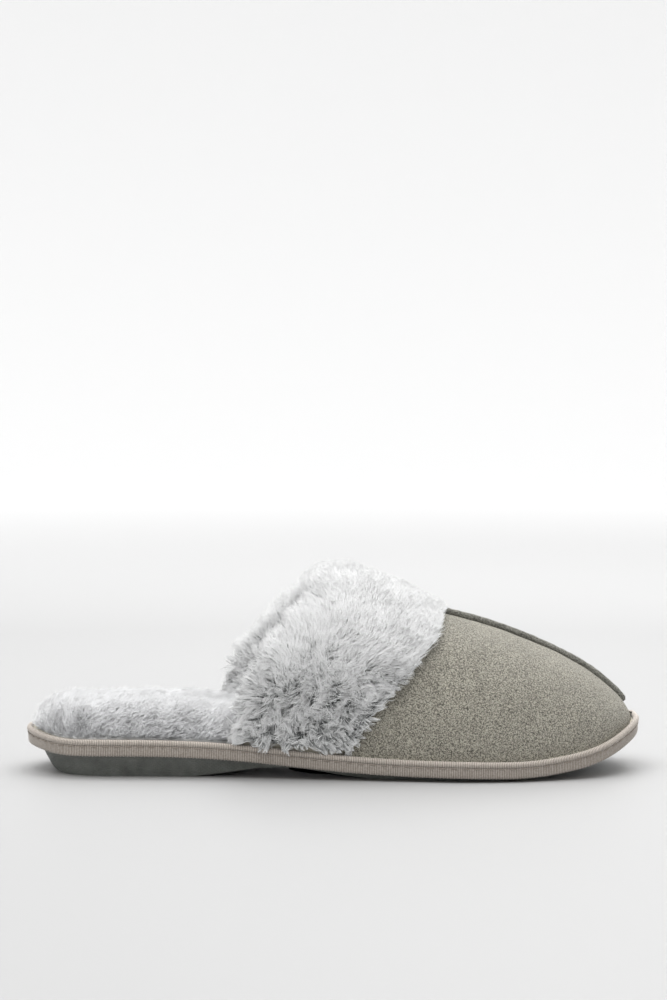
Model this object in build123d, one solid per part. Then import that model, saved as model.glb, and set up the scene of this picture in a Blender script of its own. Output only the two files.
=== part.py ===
from build123d import *
import math
import os

import numpy as np

# A right-foot scuff slipper: moulded sole, bound insole platform, two-panel suede vamp with a
# piped centre seam, and a deep fur cuff round the throat. Millimetres. Stations run along X from
# the heel end (0) to the toe end; the lateral side is -Y and the floor is Z = 0. The whole slipper
# is moved onto the centre of its own footprint when it is written.

# Plan outline of the platform edge, as the corners of a rounded polygon: station, Y and the
# radius that rounds the corner. It goes round by the lateral side and the toe.
RIM_CORNERS = [
    (0.5, -33.5, 33), (95, -36.5, 500), (207, -50.5, 110), (252, -33, 45), (269.5, -9, 34),
    (269.5, 28, 24), (243, 43, 60), (195, 48.3, 200), (95, 34, 300), (0.5, 35.5, 33),
]  # fmt: skip
# Middle line of the edge tape from the side, as corners with radii: station, height and radius.
# A raised heel that turns up a little at its end, a low ball and a toe spring.
EDGE_LINE = [
    (-25, 20.6, 0), (16, 13.0, 60), (78, 12.9, 600), (150, 5.9, 700), (225, 4.6, 155),
    (256, 11, 72), (292, 34, 0),
]  # fmt: skip
# Underside of the sole, the same way: rounded back, flat heel, shallow arch, flat forefoot and
# toe spring.
UNDERSIDE = [
    (-25, 24, 0), (15, 0, 12), (76, 0, 100), (112, 5.6, 90), (150, 0, 110), (222, 0, 90),
    (260, 7, 80), (292, 30, 0),
]  # fmt: skip
# Height of the upper's outer face along its ridge, from behind the throat to the toe.
RIDGE_LINE = [
    (50, 75), (100, 78.3), (130, 79), (150, 76.5), (170, 72), (187, 68), (204, 63.2),
    (222, 56.5), (236, 50.0), (246, 44.5), (254, 38.8), (260, 33.4), (264, 28.8), (267, 23.4),
    (269, 15),
]  # fmt: skip
# Throat edge and front edge of the fur cuff, seen from the side: station and height.
THROAT_LINE = [(79, 2), (83, 18), (89, 36), (99, 53), (111, 67), (121, 80), (131, 98)]
CUFF_FRONT_LINE = [(137, 2), (146, 13), (155, 28), (167, 42), (177, 54), (184, 64), (192, 98)]

# Offsets from the edge line, in Z.
PLATFORM_BOTTOM = -3.4
BOARD_TOP = -1.9
TAPE_TOP = 1.4
PLATFORM_TOP = 3.4
BEAD_TOP = 3.8

TAPE_THICKNESS = 1.0
BEAD_OUT = 0.5
BEAD_IN = 1.9
BEAD_WALL = 0.6
PLATFORM_INSET = 2.0

SOLE_INSET_LOW = 8.6
SOLE_INSET_HIGH = 3.0
SOLE_LOFT_HEIGHT = 20.0
HEEL_UNDERCUT = 3.0
HEEL_UNDERCUT_HEIGHT = 11.0
HEEL_UNDERCUT_REACH = 26.0
WEDGE_FLOOR = 3.6
WEDGE_INSET = 14.0
WEDGE_END = 88.0
TREAD_DEPTH = 1.0
TREAD_WIDTH = 2.4
TREAD_PITCH = 8.0

UPPER_INSET = 2.2
PANEL_THICKNESS = 1.2
FOAM_THICKNESS = 2.5
LINING_THICKNESS = 4.0
FACING_THICKNESS = 6.8
ARCH_SQUARENESS = 2.3
ARCH_SUNK = 1.5
DOME_START = 55.0
# Where the arched sections stand, as shares of the way from behind the throat to the toe.
DOME_SHARES = [0, 0.13, 0.26, 0.39, 0.52, 0.63, 0.73, 0.81, 0.87, 0.915, 0.95, 0.975, 0.99, 1]
DOME_FOOT = 12.0
TIP_GAP = 0.9
SEAM_STATION = 130.0
SEAM_SLOPE = 0.0625

CUFF_PILE_RIDGE = 12.0
CUFF_PILE_SIDE = 7.0
FACING_DEPTH = 26.0
FOAM_BACK = 14.0
PANEL_UNDER_CUFF = 12.0
THROAT_TAPE_WIDTH = 8.0
THROAT_TAPE_THICKNESS = 0.6

PLUSH_INSET = 2.6
PLUSH_TOP = [
    (-25, 33.4, 0), (84, 33.4, 150), (160, 16.5, 200), (228, 14.5, 120), (258, 21, 60), (292, 44, 0),
]  # fmt: skip

PIPING_RADIUS = 1.6
PIPING_CORD_RADIUS = 0.9
PIPING_RISE = 0.9
PIPING_STATIONS = [181, 212, 237, 254, 263.5]

STITCH_RADIUS = 0.3
STITCH_LENGTH = 2.6
WELT_STITCH_PITCH = 5.0

HALF_WIDTH = 90.0
PRISM_LOW = -20.0
PRISM_HEIGHT = 160.0
FAR_TOE = 300.0
SAMPLES = 240


def rounded(corners, closed=False):
    """Lines and tangent arcs that round each corner (x, y, radius) of a flat polygon."""
    spots = [Vector(x, y) for x, y, r in corners]
    count = len(corners)
    turns = range(count) if closed else range(1, count - 1)
    arcs = []
    for i in turns:
        back = (spots[i - 1] - spots[i]).normalized()
        on = (spots[(i + 1) % count] - spots[i]).normalized()
        half = math.radians(back.get_angle(on)) / 2
        radius = corners[i][2]
        start = spots[i] + back * (radius / math.tan(half))
        end = spots[i] + on * (radius / math.tan(half))
        middle = spots[i] + (back + on).normalized() * (radius / math.sin(half) - radius)
        arcs.append(ThreePointArc(start, middle, end))
    if closed:
        links = [Line(a @ 1, b @ 0) for a, b in zip(arcs, arcs[1:] + arcs[:1])]
        return Wire([edge for pair in zip(arcs, links) for edge in pair])
    ends = [Line(spots[0], arcs[0] @ 0), Line(arcs[-1] @ 1, spots[-1])]
    links = [Line(a @ 1, b @ 0) for a, b in zip(arcs, arcs[1:])] + ends[1:]
    return Wire([ends[0]] + [edge for pair in zip(arcs, links) for edge in pair])


rim = rounded(RIM_CORNERS, closed=True)


def side_curve(corners, offset=0.0):
    """Rounded polyline of a side view, drawn flat with its heights as Y, moved up by offset."""
    return rounded([(s, z + offset, r) for s, z, r in corners])


edge_samples = [side_curve(EDGE_LINE) @ (i / SAMPLES) for i in range(SAMPLES + 1)]


def edge_height(station):
    """Height of the edge tape's middle line at a station."""
    return float(np.interp(station, [p.X for p in edge_samples], [p.Y for p in edge_samples]))


def rim_points(inset, count):
    """Points of the plan outline moved inward by inset."""
    points = []
    for i in range(count):
        along = rim % (i / count)
        inward = Vector(-along.Y, along.X).normalized()
        points.append(rim @ (i / count) + inward * inset)
    return points


def rim_prism(inset):
    """Vertical prism over the plan outline moved inward by inset."""
    outline = make_face(rim)
    if inset:
        outline = offset(outline, amount=-inset)
    return Pos(0, 0, PRISM_LOW) * extrude(outline, amount=PRISM_HEIGHT)


def side_plate(edges):
    """Plate across the full width over a closed side-view outline that is drawn flat."""
    return Rot(90, 0, 0) * extrude(make_face(edges), amount=HALF_WIDTH, both=True)


def between(low, top):
    """Plate between two side-view curves that run the same way."""
    ends = [Line(low @ 1, top @ 1), Line(top @ 0, low @ 0)]
    return side_plate([*low.edges(), *top.edges(), *ends])


def layer(low, high):
    """The layer of the platform between two offsets from the edge line."""
    return between(side_curve(EDGE_LINE, low), side_curve(EDGE_LINE, high))


def ahead_of(line, shift):
    """Everything toeward of a side-view line moved along by shift."""
    edge = Spline(*[(s + shift, z) for s, z in line])
    low = (FAR_TOE, line[0][1])
    high = (FAR_TOE, line[-1][1])
    return side_plate([edge, Line(edge @ 1, high), Line(high, low), Line(low, edge @ 0)])


def outsole():
    """Moulded sole with an undercut heel, an arch and grooved treads."""
    def outline(z):
        inset = SOLE_INSET_LOW + (SOLE_INSET_HIGH - SOLE_INSET_LOW) * z / SOLE_LOFT_HEIGHT
        undercut = HEEL_UNDERCUT * (1 - z / HEEL_UNDERCUT_HEIGHT)
        points = []
        for p in rim_points(inset, 40):
            shift = undercut * math.exp(-((p.X / HEEL_UNDERCUT_REACH) ** 2))
            points.append((p.X + shift, p.Y, z))
        return make_face(Spline(*points, periodic=True))

    walls = loft([outline(-1.0), outline(SOLE_LOFT_HEIGHT)], ruled=True)
    body = between(side_curve(UNDERSIDE), side_curve(EDGE_LINE, PLATFORM_BOTTOM))
    sole = walls & body
    return sole - wedge_space() - tread_grooves()


def wedge_space():
    """Pocket in the heel of the sole that the foam wedge fills."""
    pocket = rim_prism(WEDGE_INSET) & Pos(WEDGE_END - 200, 0, 0) * Box(400, 200, 400)
    floor = Pos(0, 0, 200 + WEDGE_FLOOR) * Box(800, 400, 400)
    return pocket & floor & layer(-30, PLATFORM_BOTTOM)


def tread_grooves():
    """Cross grooves that stop short of the sole's edges, at the heel and the ball."""
    grooves = []
    for first, last, reach in ((32, 72, 15), (162, 202, 27)):
        for station in np.arange(first, last + 1, TREAD_PITCH):
            slot = extrude(SlotOverall(2 * reach, TREAD_WIDTH), amount=TREAD_DEPTH, both=True)
            grooves.append(Pos(float(station), 0, 0) * Rot(0, 0, 90) * slot)
    return grooves


def ring(outer_inset, inner_inset, low, high):
    """Band round the platform's edge between two insets and two heights."""
    return (rim_prism(outer_inset) - rim_prism(inner_inset)) & layer(low, high)


def insole_pad():
    """Deep pile footbed at the platform's full width: thick at the heel, thin in the toe."""
    pile = between(side_curve(EDGE_LINE, PLATFORM_TOP), side_curve(PLUSH_TOP))
    return rim_prism(PLUSH_INSET) & pile


def ridge_samples(inset):
    """Stations and heights of the ridge line moved inward by inset."""
    line = Spline(*[(s, 0, z) for s, z in RIDGE_LINE])
    stations, heights = [], []
    for i in range(SAMPLES + 1):
        along = line % (i / SAMPLES)
        point = line @ (i / SAMPLES)
        stations.append(point.X + along.Z * inset)
        heights.append(point.Z - along.X * inset)
    return stations, heights


def seam_y(station):
    """Y of the centre seam's plane."""
    return SEAM_SLOPE * (station - SEAM_STATION)


def arch_point(y_side, y_top, base, top, angle):
    """Point on one side of a squared-off elliptical arch; angle 0 is its foot."""
    power = 2 / ARCH_SQUARENESS
    y = y_top + (y_side - y_top) * math.cos(angle) ** power
    z = base + (top - base) * math.sin(angle) ** power
    return y, z


def dome(side_inset, ridge_inset, end=None):
    """Solid under an arched surface that stands on the platform, closed at the toe."""
    points = rim_points(side_inset, 2 * SAMPLES)
    tip = max(range(len(points)), key=lambda i: points[i].X)
    lateral = points[: tip + 1]
    medial = points[tip:][::-1]
    ridge_s, ridge_z = ridge_samples(ridge_inset)
    start = DOME_START
    last = end or points[tip].X - TIP_GAP
    sections = []
    for share in DOME_SHARES:
        s = start + (last - start) * share
        y_low = float(np.interp(s, [p.X for p in lateral], [p.Y for p in lateral]))
        y_high = float(np.interp(s, [p.X for p in medial], [p.Y for p in medial]))
        base = edge_height(s) + PLATFORM_TOP - ARCH_SUNK
        top = float(np.interp(s, ridge_s, ridge_z))
        middle = seam_y(s)
        angles = [math.radians(a) for a in (0, 20, 42, 66)]
        left = [arch_point(y_low, middle, base, top, a) for a in angles]
        right = [arch_point(y_high, middle, base, top, a) for a in angles[::-1]]
        arch = Spline(
            *[(s, y, z) for y, z in [*left, (middle, top), *right]],
            tangents=[(0, 0, 1), (0, 0, -1)],
        )
        foot = base - DOME_FOOT
        walls = Polyline(arch @ 1, (s, y_high, foot), (s, y_low, foot), arch @ 0)
        sections.append(make_face([arch, *walls.edges()]))
    return loft(sections)


def halves(shell):
    """A shell cut along the centre seam: lateral half, medial half."""
    turn = math.degrees(math.atan(SEAM_SLOPE))
    medial_side = Pos(SEAM_STATION, 0, 0) * Rot(0, 0, turn) * Pos(0, 200, 0) * Box(800, 400, 800)
    return shell - medial_side, shell & medial_side


def piping_path():
    """Centre line of the seam piping: arcs that follow the ridge, in the seam's plane."""
    ridge_s, ridge_z = ridge_samples(-PIPING_RISE)
    spots = [Vector(s, seam_y(s), float(np.interp(s, ridge_s, ridge_z))) for s in PIPING_STATIONS]
    heading = (spots[1] - spots[0]).normalized() + Vector(0, 0, 0.06)
    arcs = []
    for a, b in zip(spots, spots[1:]):
        arcs.append(TangentArc(a, b, tangent=heading))
        heading = arcs[-1] % 1
    return Wire(arcs)


def rod(path, radius):
    start = Plane(origin=path @ 0, z_dir=path % 0)
    return sweep(start * Circle(radius), path=path, transition=Transition.RIGHT)


def stitch(centre, along):
    """One stitch of thread: a short rod."""
    place = Plane(origin=centre, z_dir=along)
    return place * Cylinder(STITCH_RADIUS, STITCH_LENGTH)


def welt_stitches():
    """Stitches in the groove between the bead and the flat tape, all round."""
    count = round(rim.length / WELT_STITCH_PITCH)
    reach = STITCH_RADIUS + 0.12
    drop = TAPE_TOP - STITCH_RADIUS - 0.1
    stitches = []
    for i in range(count):
        along = rim % (i / count)
        outward = Vector(along.Y, -along.X).normalized()
        spot = rim @ (i / count) + outward * reach
        ahead = spot + along.normalized()
        low = Vector(spot.X, spot.Y, edge_height(spot.X) + drop)
        high = Vector(ahead.X, ahead.Y, edge_height(ahead.X) + drop)
        stitches.append(stitch(low, high - low))
    return stitches


def slipper():
    """Every sub-part by name."""
    above = layer(PLATFORM_TOP, 150)
    outer = dome(UPPER_INSET, 0) & above
    panel_in = dome(UPPER_INSET + PANEL_THICKNESS, PANEL_THICKNESS) & above
    foam_inset = PANEL_THICKNESS + FOAM_THICKNESS
    foam_in = dome(UPPER_INSET + foam_inset, foam_inset) & above
    lining_inset = foam_inset + LINING_THICKNESS
    lining_in = dome(UPPER_INSET + lining_inset, lining_inset) & above
    tape_inset = foam_inset + THROAT_TAPE_THICKNESS
    tape_in = dome(UPPER_INSET + tape_inset, tape_inset) & above
    facing_inset = foam_inset + FACING_THICKNESS
    facing_in = dome(UPPER_INSET + facing_inset, facing_inset, end=215) & above
    cuff_out = dome(UPPER_INSET - CUFF_PILE_SIDE, -CUFF_PILE_RIDGE, end=215)
    cuff_out = cuff_out & layer(BEAD_TOP, 150)

    path = piping_path()
    piping = rod(path, PIPING_RADIUS)
    cord = rod(path, PIPING_CORD_RADIUS)

    panel = (outer - panel_in) & ahead_of(CUFF_FRONT_LINE, -PANEL_UNDER_CUFF)
    panel = panel - piping
    foam = (panel_in - foam_in) & ahead_of(THROAT_LINE, FOAM_BACK)
    foam = foam - piping
    lining = (foam_in - lining_in) & ahead_of(THROAT_LINE, FACING_DEPTH)
    throat_tape = (foam_in - tape_in) & ahead_of(THROAT_LINE, FOAM_BACK)
    throat_tape = throat_tape - ahead_of(THROAT_LINE, FOAM_BACK + THROAT_TAPE_WIDTH)
    panel_lateral, panel_medial = halves(panel)
    foam_lateral, foam_medial = halves(foam)
    lining_lateral, lining_medial = halves(lining)

    behind_front = cuff_out - ahead_of(CUFF_FRONT_LINE, 0)
    fold = (behind_front - facing_in) & ahead_of(THROAT_LINE, 0)
    fold = fold - (ahead_of(THROAT_LINE, FACING_DEPTH) & foam_in)
    cuff = fold - foam - panel - throat_tape - piping

    bead = ring(-BEAD_OUT, BEAD_IN, TAPE_TOP, BEAD_TOP)
    bead_core = ring(
        BEAD_WALL - BEAD_OUT, BEAD_IN - BEAD_WALL, TAPE_TOP + BEAD_WALL, BEAD_TOP - BEAD_WALL
    )

    pad = insole_pad()
    under_upper = ahead_of(THROAT_LINE, 0)
    plush = (pad - under_upper) + (pad & lining_in & under_upper) - cuff
    return {
        "outsole": outsole(),
        "heel_wedge": wedge_space(),
        "insole_board": rim_prism(PLATFORM_INSET) & layer(PLATFORM_BOTTOM, BOARD_TOP),
        "insole_foam": rim_prism(PLATFORM_INSET) & layer(BOARD_TOP, PLATFORM_TOP),
        "insole_plush": plush,
        "edge_tape": ring(0, TAPE_THICKNESS, PLATFORM_BOTTOM, TAPE_TOP),
        "welt_piping_cover": bead - bead_core,
        "welt_piping_cord": bead_core,
        "welt_stitches": Compound(welt_stitches()),
        "vamp_panel_lateral": panel_lateral,
        "vamp_panel_medial": panel_medial,
        "vamp_foam_lateral": foam_lateral,
        "vamp_foam_medial": foam_medial,
        "vamp_lining_lateral": lining_lateral,
        "vamp_lining_medial": lining_medial,
        "centre_piping_cover": piping - cord,
        "centre_piping_cord": cord,
        "fur_cuff": cuff,
        "throat_tape": throat_tape,
    }


def main():
    os.makedirs("parts", exist_ok=True)
    nodes = slipper()
    middle = Compound([s for node in nodes.values() for s in node.solids()]).bounding_box().center()
    for name, node in nodes.items():
        solids = Compound(node.solids())
        export_step(Pos(-middle.X, -middle.Y, 0) * solids, f"parts/{name}.step")


main()
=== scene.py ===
import math

import bpy
import numpy as np
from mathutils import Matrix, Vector
from mathutils.kdtree import KDTree


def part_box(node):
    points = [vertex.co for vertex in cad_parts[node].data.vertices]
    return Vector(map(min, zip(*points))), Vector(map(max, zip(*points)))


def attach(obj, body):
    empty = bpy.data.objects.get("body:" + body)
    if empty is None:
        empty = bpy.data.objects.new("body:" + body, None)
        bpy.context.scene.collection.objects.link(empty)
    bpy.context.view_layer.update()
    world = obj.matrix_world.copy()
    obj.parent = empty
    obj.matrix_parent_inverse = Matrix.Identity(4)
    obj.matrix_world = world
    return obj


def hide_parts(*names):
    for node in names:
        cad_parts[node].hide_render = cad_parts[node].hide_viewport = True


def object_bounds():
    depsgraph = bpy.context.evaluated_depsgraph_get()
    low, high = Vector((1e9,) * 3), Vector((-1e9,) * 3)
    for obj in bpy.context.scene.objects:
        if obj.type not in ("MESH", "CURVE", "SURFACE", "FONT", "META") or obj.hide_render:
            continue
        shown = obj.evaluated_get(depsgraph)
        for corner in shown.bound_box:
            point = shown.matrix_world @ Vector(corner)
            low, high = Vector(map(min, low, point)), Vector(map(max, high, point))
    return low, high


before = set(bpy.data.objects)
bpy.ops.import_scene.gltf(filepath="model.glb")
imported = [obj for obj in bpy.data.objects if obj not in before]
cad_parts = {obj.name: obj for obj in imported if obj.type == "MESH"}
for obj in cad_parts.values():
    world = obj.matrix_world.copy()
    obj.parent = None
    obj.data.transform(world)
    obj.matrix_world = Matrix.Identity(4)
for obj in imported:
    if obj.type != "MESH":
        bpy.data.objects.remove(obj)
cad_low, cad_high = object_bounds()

# The slipper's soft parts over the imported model. Shapes are worked out in millimetres, with
# stations along X from the heel end, and moved onto the frame by SHIFT.

MM = 0.001

# Rounded polygons, as in the CAD model: x, y, radius.
RIM_CORNERS = [
    (0.5, -33.5, 33), (95, -36.5, 500), (207, -50.5, 110), (252, -33, 45), (269.5, -9, 34),
    (269.5, 28, 24), (243, 43, 60), (195, 48.3, 200), (95, 34, 300), (0.5, 35.5, 33),
]
EDGE_LINE = [
    (-25, 20.6, 0), (16, 13.0, 60), (78, 12.9, 600), (150, 5.9, 700), (225, 4.6, 155),
    (256, 11, 72), (292, 34, 0),
]

# Side-view lines of the upper: station and height.
RIDGE_LINE = [
    (50, 75), (100, 78.3), (130, 79), (150, 76.5), (170, 72), (187, 68), (204, 63.2),
    (222, 56.5), (236, 50.0), (246, 44.5), (254, 38.8), (260, 33.4), (264, 28.8), (267, 23.4),
    (269, 15),
]
THROAT_LINE = [(79, 2), (83, 18), (89, 36), (99, 53), (111, 67), (121, 80), (131, 98)]
CUFF_FRONT_LINE = [(137, 2), (146, 13), (155, 28), (167, 42), (177, 54), (184, 64), (192, 98)]

# Platform and upper: insets from the rim, heights from the middle line of the edge tape.
PLATFORM_TOP = 3.4
UPPER_INSET = 2.2
ARCH_SUNK = 1.5
ARCH_SQUARENESS = 2.3
SEAM_STATION = 130.0
SEAM_SLOPE = 0.0625
PANEL_THICKNESS = 1.2

# Edge tape: its section as (out, up), then how far each of those points follows the ribs and
# the scallops of the lower edge.
TAPE_SECTION = [
    (-0.9, 1.5), (-0.25, 1.5), (0.2, 1.2), (0.3, 0.2), (0.25, -0.9), (0.25, -2.0),
    (0.1, -2.8), (-0.2, -3.2), (-1.6, -3.3), (-1.6, -2.9), (-0.95, -2.6),
]
TAPE_RIBBED = [0, 0.5, 1, 1, 1, 1, 1, 0.7, 0, 0, 0]
TAPE_SCALLOPED = [0, 0, 0, 0, 0, 0.3, 0.7, 1, 0.4, 0, 0]
SCALLOP_DEPTH = 0.22
RIB_POINTS = 3
RIB_DEPTH = 0.16
# The ribs' painted light and shade: the tape's colour runs from painted shade in the furrows to
# painted light on the crests.
TAPE_LIGHTNESS = 0.72
RIB_FURROW_PAINTED_SHADE = (0.17, 0.145, 0.125)
RIB_CREST_PAINTED_LIGHT = (0.68, 0.62, 0.555)

# Piping along the tape, and on the ridge seam.
WELT_PIPING_RADIUS = 1.26
WELT_PIPING_IN = 0.42
WELT_PIPING_UP = 2.55
WELT_RIB_PHASE = 0.6
PIPING_SIDES = 14
SEAM_PIPING_RADIUS = 1.62
SEAM_PIPING_END = 264.5
SEAM_PIPING_REACH = 82.5
SEAM_PIPING_RISE = 0.75

# Plush footbed.
INSOLE_INSET = 4.6
HEEL_CLEARANCE = 0.6
TOE_CLEARANCE = 6
HEEL_PAD_END = 84
PAD_SHOULDER = 11
PAD_HEIGHTS = [(0, 9.5), (84, 9.5), (120, 8.0), (160, 4.5), (270, 3.5)]
PILE_MIDDLE = [60.0, 0, 0]
INSOLE_PILE = 8.0
INSOLE_ROWS = 90
INSOLE_HAIRS = 60000

# Fur cuff.
CUFF_FOOT_ANGLE = 0.038
THROAT_SKEW = 4.5
THROAT_ROLL = 11.0
OUTSIDE_ROWS = 34
FOLD_ROWS = 9
TURN_IN_ROWS = 12
TURN_IN = 20
CUFF_FOOT = 14
CUFF_TALL = 62
CUFF_LIFT = 3.0
CUFF_PILE = 10.2
CUFF_HAIRS = 84000

# Linings.
LINING_GAP = 4.2
LINING_SINK = 2.2
LINING_THICKNESS = 2.0
LINING_PILE = 4.2
LINING_HAIRS = 5000

# Hairs: tapered bars of three sides, with points at these shares of the length.
STRAND_SIDES = 3
STRAND_STEPS = (0.0, 0.38, 0.72, 1.0)
STRAND_TAPER = (0.75, 1.0, 0.7)
STRANDS_PER_PIECE = 12000
STRAND_POINTS = 10

# Studio, in metres.
# The floor is painted darker near the slipper than far from it: painted shade where the lights are
# strongest.
FLOOR_NEAR_PAINTED_SHADE = 0.45
FLOOR_FAR = 0.85
FLOOR_SPREAD = 3.0
FLOOR_FLAT = 2.4
FLOOR_CURVE = 2.0
FLOOR_SIDES = 96
SKY_FRONT = 0.36
SKY_TOP = 1.1
LENS = 100
SENSOR = 36
VIEW_ELEVATION = 8.2
VIEW_PITCH = 2.7
VIEW_DISTANCE = 1.237

rng = np.random.default_rng(7)


# Outlines ----------------------------------------------------------------------------------------


def unit(v):
    return v / np.maximum(np.linalg.norm(v, axis=-1, keepdims=True), 1e-9)


def rounded(corners, closed=False, step=0.5):
    """Evenly spaced points along a polygon whose corners are rounded by tangent arcs."""
    spots = np.array([c[:2] for c in corners], float)
    count = len(spots)
    points = [] if closed else [spots[0]]
    for i in range(count) if closed else range(1, count - 1):
        radius = corners[i][2]
        back = unit(spots[i - 1] - spots[i])
        on = unit(spots[(i + 1) % count] - spots[i])
        half = math.acos(float(np.clip(back @ on, -1, 1))) / 2
        centre = spots[i] + unit(back + on) * radius / math.sin(half)
        start = spots[i] + back * radius / math.tan(half) - centre
        end = spots[i] + on * radius / math.tan(half) - centre
        first = math.atan2(start[1], start[0])
        turn = (math.atan2(end[1], end[0]) - first + math.pi) % (2 * math.pi) - math.pi
        for t in np.linspace(0, 1, 24):
            angle = first + turn * t
            points.append(centre + radius * np.array([math.cos(angle), math.sin(angle)]))
    points.append(points[0] if closed else spots[-1])
    points = np.array(points)
    along = np.concatenate([[0], np.cumsum(np.linalg.norm(np.diff(points, axis=0), axis=1))])
    places = np.linspace(0, along[-1], int(along[-1] / step) + 1)
    return np.stack([np.interp(places, along, points[:, k]) for k in (0, 1)], axis=1)


def smooth_line(points, count=240):
    """Catmull-Rom curve through points."""
    p = np.array(points, float)
    p = np.vstack([2 * p[0] - p[1], p, 2 * p[-1] - p[-2]])
    out = []
    for i in range(1, len(p) - 2):
        a, b, c, d = p[i - 1], p[i], p[i + 1], p[i + 2]
        for t in np.linspace(0, 1, count // (len(p) - 3), endpoint=False):
            out.append(0.5 * (2 * b + (c - a) * t + (2 * a - 5 * b + 4 * c - d) * t**2
                              + (3 * b - 3 * c + d - a) * t**3))
    out.append(p[-2])
    return np.array(out)


rim = rounded(RIM_CORNERS, closed=True, step=0.25)[:-1]
rim_along = unit(np.roll(rim, -1, 0) - np.roll(rim, 1, 0))
rim_out = np.stack([rim_along[:, 1], -rim_along[:, 0]], axis=1)
edge_points = rounded(EDGE_LINE)
ridge_curve = smooth_line(RIDGE_LINE)
throat_curve = smooth_line(THROAT_LINE)
front_curve = smooth_line(CUFF_FRONT_LINE)
tape_low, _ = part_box("edge_tape")
SHIFT = np.array([tape_low.x / MM - rim[:, 0].min(), tape_low.y / MM - rim[:, 1].min(), 0.0])


def edge(s):
    """Height of the edge tape's middle line."""
    return np.interp(s, edge_points[:, 0], edge_points[:, 1])


def ridge(s, inset):
    """Height of the upper's ridge, moved inward by inset."""
    along = unit(np.gradient(ridge_curve, axis=0))
    moved = ridge_curve + np.stack([along[:, 1], -along[:, 0]], axis=1) * inset
    return np.interp(s, moved[:, 0], moved[:, 1])


def seam(s):
    """Y of the ridge seam."""
    return SEAM_SLOPE * (s - SEAM_STATION)


def rim_sides(inset):
    """Plan outline moved inward by inset, as two curves of Y by station."""
    moved = rim - rim_out * inset
    tip = int(np.argmax(moved[:, 0]))
    heel = int(np.argmin(moved[:, 0]))
    moved = np.roll(moved, -heel, 0)
    tip = (tip - heel) % len(moved)
    return moved[: tip + 1], moved[tip:][::-1]


def toe_tip():
    """Station of the upper's foremost point."""
    lateral, _ = rim_sides(UPPER_INSET)
    return float(lateral[-1, 0])


def arch(s, angle, side_inset, top_inset):
    """Points of the upper's arched surface; angle runs from the lateral foot (0) to the medial."""
    lateral, medial = rim_sides(side_inset)
    y_side = np.where(
        angle < math.pi / 2,
        np.interp(s, lateral[:, 0], lateral[:, 1]),
        np.interp(s, medial[:, 0], medial[:, 1]),
    )
    base = edge(s) + PLATFORM_TOP - ARCH_SUNK
    power = 2 / ARCH_SQUARENESS
    y = seam(s) + (y_side - seam(s)) * np.abs(np.cos(angle)) ** power
    z = base + (ridge(s, top_inset) - base) * np.abs(np.sin(angle)) ** power
    return np.stack([s, y, z], axis=-1)


def dimple(points, size, seed):
    """Smooth random field, about -1 to 1, over points in millimetres."""
    local = np.random.default_rng(seed)
    total = 0
    for _ in range(6):
        wave = local.normal(size=3) / size
        total = total + np.sin(points @ wave * 2 * math.pi / 2.2 + local.uniform(0, 6.28))
    return total / 3.5


def rise(value, start, over):
    """0 at start, rising to 1 over a distance."""
    return np.clip((value - start) / over, 0, 1)


# Materials ---------------------------------------------------------------------------------------


def material(name, colour, roughness, sheen=0.0, sheen_tint=(1, 1, 1)):
    m = bpy.data.materials.new(name)
    m.use_nodes = True
    shader = m.node_tree.nodes["Principled BSDF"]
    shader.inputs["Base Color"].default_value = (*colour, 1)
    shader.inputs["Roughness"].default_value = roughness
    shader.inputs["Sheen Weight"].default_value = sheen
    shader.inputs["Sheen Roughness"].default_value = 0.5
    shader.inputs["Sheen Tint"].default_value = (*sheen_tint, 1)
    shader.inputs["Specular IOR Level"].default_value = 0.25
    return m, m.node_tree.nodes, m.node_tree.links, shader


def coordinates(nodes):
    """Vector of the place on the object, in metres."""
    return nodes.new("ShaderNodeTexCoord").outputs["Object"]


def across_and_up(nodes, links):
    """The two values of the piece's own UV map."""
    uv = nodes.new("ShaderNodeUVMap")
    uv.uv_map = "OFBake"
    parts = nodes.new("ShaderNodeSeparateXYZ")
    links.new(uv.outputs["UV"], parts.inputs["Vector"])
    return parts.outputs["X"], parts.outputs["Y"]


def noise_node(nodes, links, vector, scale, detail=3.0, rough=0.6):
    n = nodes.new("ShaderNodeTexNoise")
    n.inputs["Scale"].default_value = scale
    n.inputs["Detail"].default_value = detail
    n.inputs["Roughness"].default_value = rough
    links.new(vector, n.inputs["Vector"])
    return n.outputs["Fac"]


def ramp(nodes, links, fac, stops):
    r = nodes.new("ShaderNodeValToRGB")
    while len(r.color_ramp.elements) < len(stops):
        r.color_ramp.elements.new(0.5)
    for element, (at, colour) in zip(r.color_ramp.elements, stops):
        element.position = at
        element.color = (*colour, 1)
    links.new(fac, r.inputs["Fac"])
    return r.outputs["Color"]


def mix(nodes, links, a, b, factor, blend="MIX"):
    m = nodes.new("ShaderNodeMix")
    m.data_type = "RGBA"
    m.blend_type = blend
    for socket, value in ((m.inputs[0], factor), (m.inputs[6], a), (m.inputs[7], b)):
        if hasattr(value, "is_output"):
            links.new(value, socket)
        else:
            socket.default_value = value
    return m.outputs[2]


def bump(nodes, links, shader, height, strength, distance):
    b = nodes.new("ShaderNodeBump")
    b.inputs["Strength"].default_value = strength
    b.inputs["Distance"].default_value = distance
    links.new(height, b.inputs["Height"])
    links.new(b.outputs["Normal"], shader.inputs["Normal"])


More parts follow.
